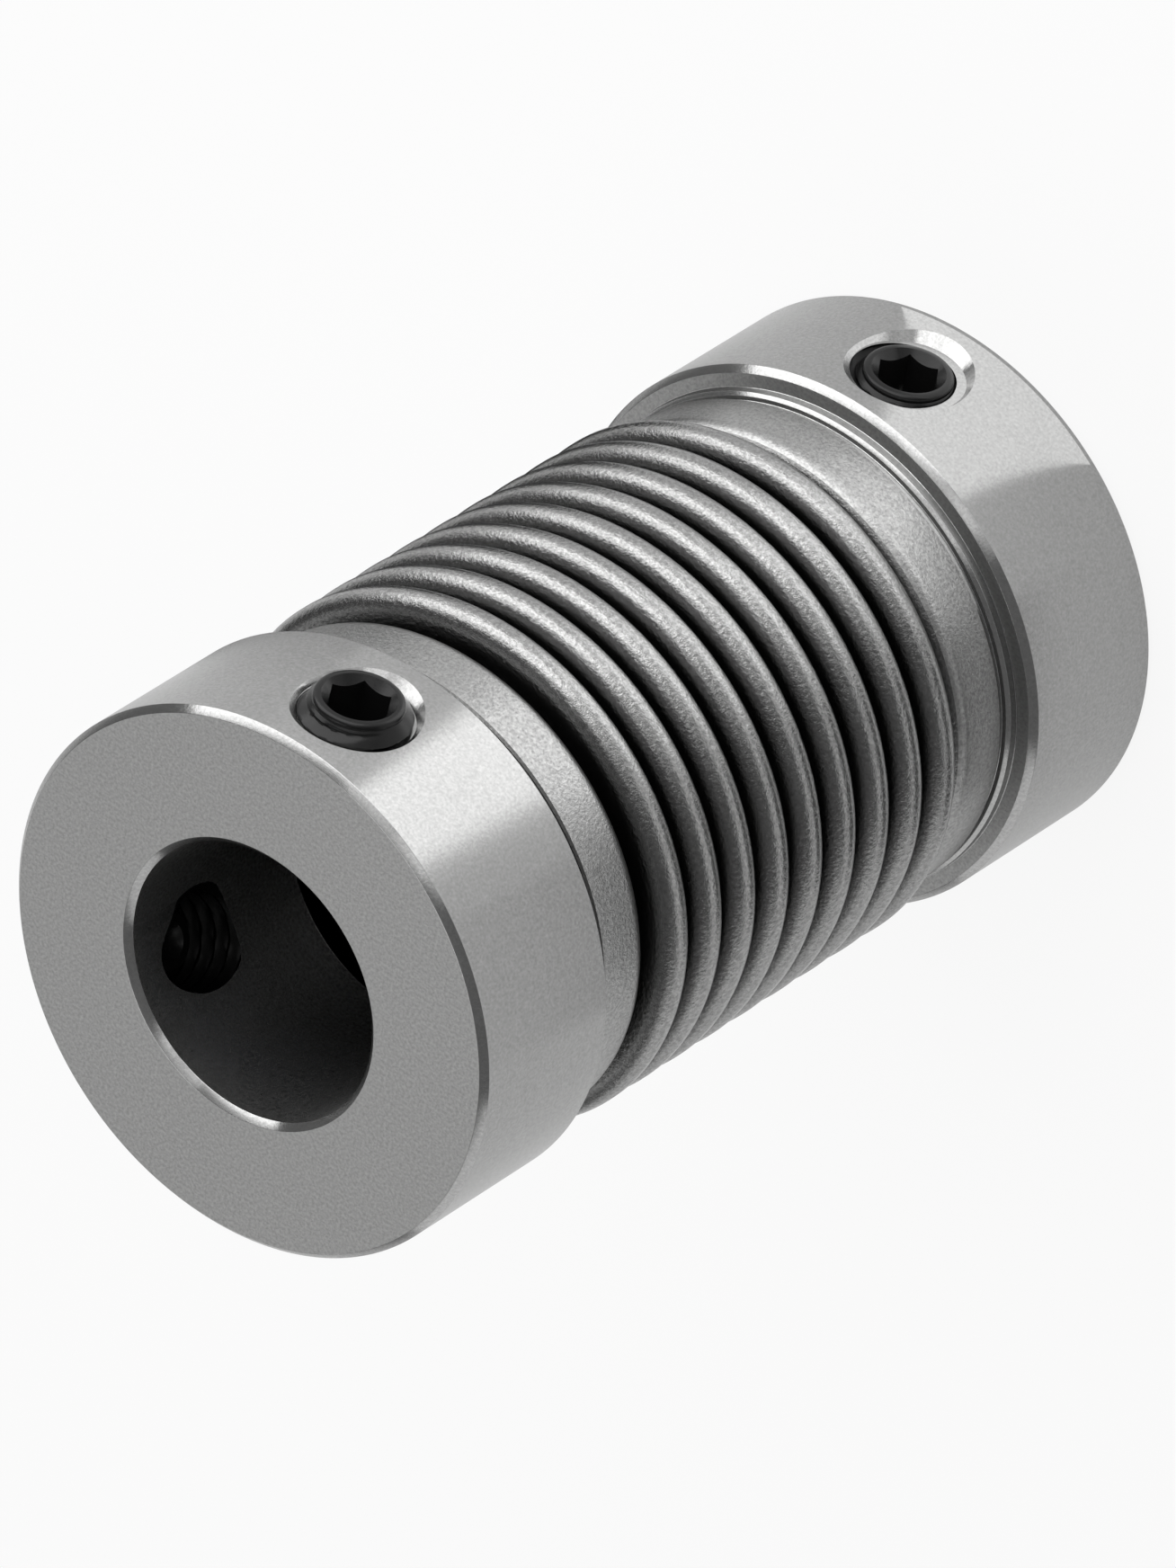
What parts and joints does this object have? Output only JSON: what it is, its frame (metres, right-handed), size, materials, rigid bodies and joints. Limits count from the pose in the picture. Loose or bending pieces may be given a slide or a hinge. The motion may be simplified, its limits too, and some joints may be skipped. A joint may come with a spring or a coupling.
{
  "type": "shaft coupling",
  "caption": "Miniature metal bellows coupling: a turned hub with socket set screws at each end of a corrugated tube.",
  "frame": {"origin": "centre of the lower hub's end face, on the shaft axis", "axes": "+Z along the shaft axis from the lower hub to the upper hub, -Y towards the front set screws"},
  "size_m": [0.025, 0.0255, 0.046],
  "materials": {
    "hub": "fine turned, with bright chamfers",
    "bellows": "formed stainless steel, bright on the crests with a fine grain",
    "screw": "black oxide on steel"
  },
  "bodies": {
    "root": {"lower_hub": "hub", "upper_hub": "hub", "bellows": "bellows", "lower_front_screw": "screw", "lower_side_screw": "screw", "upper_front_screw": "screw", "upper_side_screw": "screw"}
  },
  "joints": []
}
